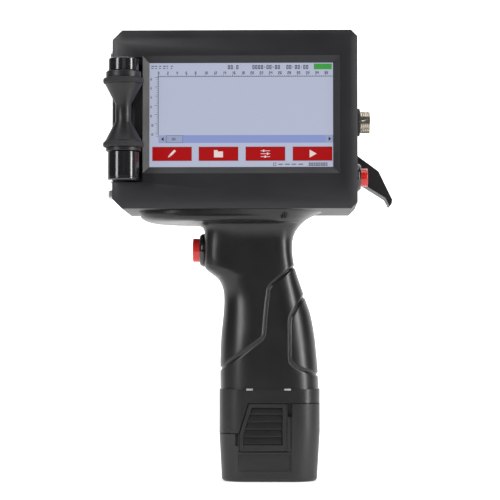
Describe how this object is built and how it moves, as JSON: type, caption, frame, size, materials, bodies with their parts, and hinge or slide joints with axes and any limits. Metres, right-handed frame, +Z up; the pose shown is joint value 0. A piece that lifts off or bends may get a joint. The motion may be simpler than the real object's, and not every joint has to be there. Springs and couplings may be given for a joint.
{
  "type": "date code inkjet printer",
  "caption": "Gun-shaped handheld inkjet date coder with a touch screen head, measuring roller, trigger grip and slide-in battery.",
  "frame": {"origin": "centre of the battery's flat bottom face", "axes": "+Z up along the grip, -Y towards the screen's viewer, -X towards the print face and the trigger"},
  "size_m": [0.1487, 0.0819, 0.2314],
  "materials": {
    "head_plastic": "fine satin moulded ABS",
    "grip_plastic": "satin moulded nylon",
    "pack_plastic": "fine grained moulded nylon",
    "gloss_black": "glossy black plastic",
    "hub_plastic": "turned black acetal",
    "black_rubber": "matte rubber",
    "red_plastic": "glossy red plastic",
    "stainless": "brushed stainless steel",
    "bright_steel": "zinc plated steel",
    "nickel": "satin nickel plate",
    "brass": "plain brass",
    "gold_contact": "gold plated contact",
    "board_green": "solder masked circuit board",
    "chip_black": "moulded chip body",
    "screen_glass": "clear coated display front",
    "lcd_grey": "display module",
    "foam": "closed cell foam",
    "sponge": "ink sponge",
    "cell_wrap": "shrink wrapped cell",
    "wire_skin": "silicone wire insulation"
  },
  "bodies": {
    "housing": {"front_cover": "head_plastic", "rear_cover": "head_plastic", "cover_screws": "bright_steel", "print_face_plate": "stainless", "plate_screws": "bright_steel", "guide_wheel_pin": "bright_steel", "screen_gasket": "foam", "touch_panel": "screen_glass", "lcd_panel": "lcd_grey", "lcd_frame": "bright_steel", "board_standoffs": "brass", "main_board": "board_green", "small_screws": "bright_steel", "board_components": "chip_black", "usb_socket": "bright_steel", "roller_bearings": "bright_steel", "upper_roller_block": "gloss_black", "lower_roller_block": "gloss_black", "encoder_cap": "gloss_black", "encoder_sensor": "chip_black", "cartridge_stall": "hub_plastic", "pen_contact_board": "board_green", "contact_pins": "gold_contact", "lever_pin": "bright_steel", "connector_gasket": "black_rubber", "connector_shell": "nickel", "connector_insert": "gloss_black", "connector_pins": "gold_contact", "connector_nut": "nickel", "power_button_body": "gloss_black", "power_button_nut": "nickel", "trigger_body": "gloss_black", "trigger_nut": "nickel", "grip_near_half": "grip_plastic", "grip_far_half": "grip_plastic", "grip_screws": "bright_steel", "mount_screws": "bright_steel", "terminal_block": "hub_plastic", "terminal_clips": "gold_contact", "power_leads": "wire_skin"},
    "roller": {"roller_hub": "hub_plastic", "roller_treads": "black_rubber", "roller_shaft": "bright_steel", "encoder_disc": "bright_steel"},
    "side_wheel": {"guide_wheel": "stainless"},
    "lever": {"latch_lever": "head_plastic", "lever_pad": "black_rubber"},
    "cartridge": {"ink_cartridge": "hub_plastic", "cartridge_sponge": "sponge", "cartridge_lid": "gloss_black", "nozzle_plate": "gold_contact", "cartridge_contacts": "gold_contact"},
    "power_button": {"power_button_cap": "red_plastic"},
    "trigger": {"trigger_cap": "red_plastic"},
    "battery": {"battery_case": "pack_plastic", "battery_tower": "pack_plastic", "battery_cells": "cell_wrap", "battery_blades": "brass"},
    "latch_near": {"battery_latch_near": "pack_plastic"},
    "latch_far": {"battery_latch_far": "pack_plastic"}
  },
  "joints": [
    {"name": "roller_spin", "type": "hinge", "parent": "housing", "child": "roller", "pos_m": [-0.0737, -0.0385, 0.186], "axis": [0, 0, 1], "continuous": true},
    {"name": "guide_wheel_spin", "type": "hinge", "parent": "housing", "child": "side_wheel", "pos_m": [-0.0782, -0.013, 0.1482], "axis": [0, 0, 1], "continuous": true},
    {"name": "lever_swing", "type": "hinge", "parent": "housing", "child": "lever", "pos_m": [0.0412, 0.015, 0.2244], "axis": [0, -1, 0], "range_deg": [0, 90]},
    {"name": "cartridge_slide", "type": "slide", "parent": "housing", "child": "cartridge", "axis": [1, 0, 0], "range_m": [0, 0.036]},
    {"name": "power_press", "type": "slide", "parent": "housing", "child": "power_button", "axis": [-1, 0, 0], "range_m": [0, 0.002], "stiffness_N_per_m": 800},
    {"name": "trigger_press", "type": "slide", "parent": "housing", "child": "trigger", "axis": [1, 0, 0], "range_m": [0, 0.0025], "stiffness_N_per_m": 800},
    {"name": "battery_slide", "type": "slide", "parent": "housing", "child": "battery", "axis": [0, 0, -1], "range_m": [0, 0.04]},
    {"name": "near_latch_press", "type": "slide", "parent": "battery", "child": "latch_near", "axis": [0, 1, 0], "range_m": [0, 0.0014], "stiffness_N_per_m": 1500},
    {"name": "far_latch_press", "type": "slide", "parent": "battery", "child": "latch_far", "axis": [0, -1, 0], "range_m": [0, 0.0014], "stiffness_N_per_m": 1500}
  ]
}
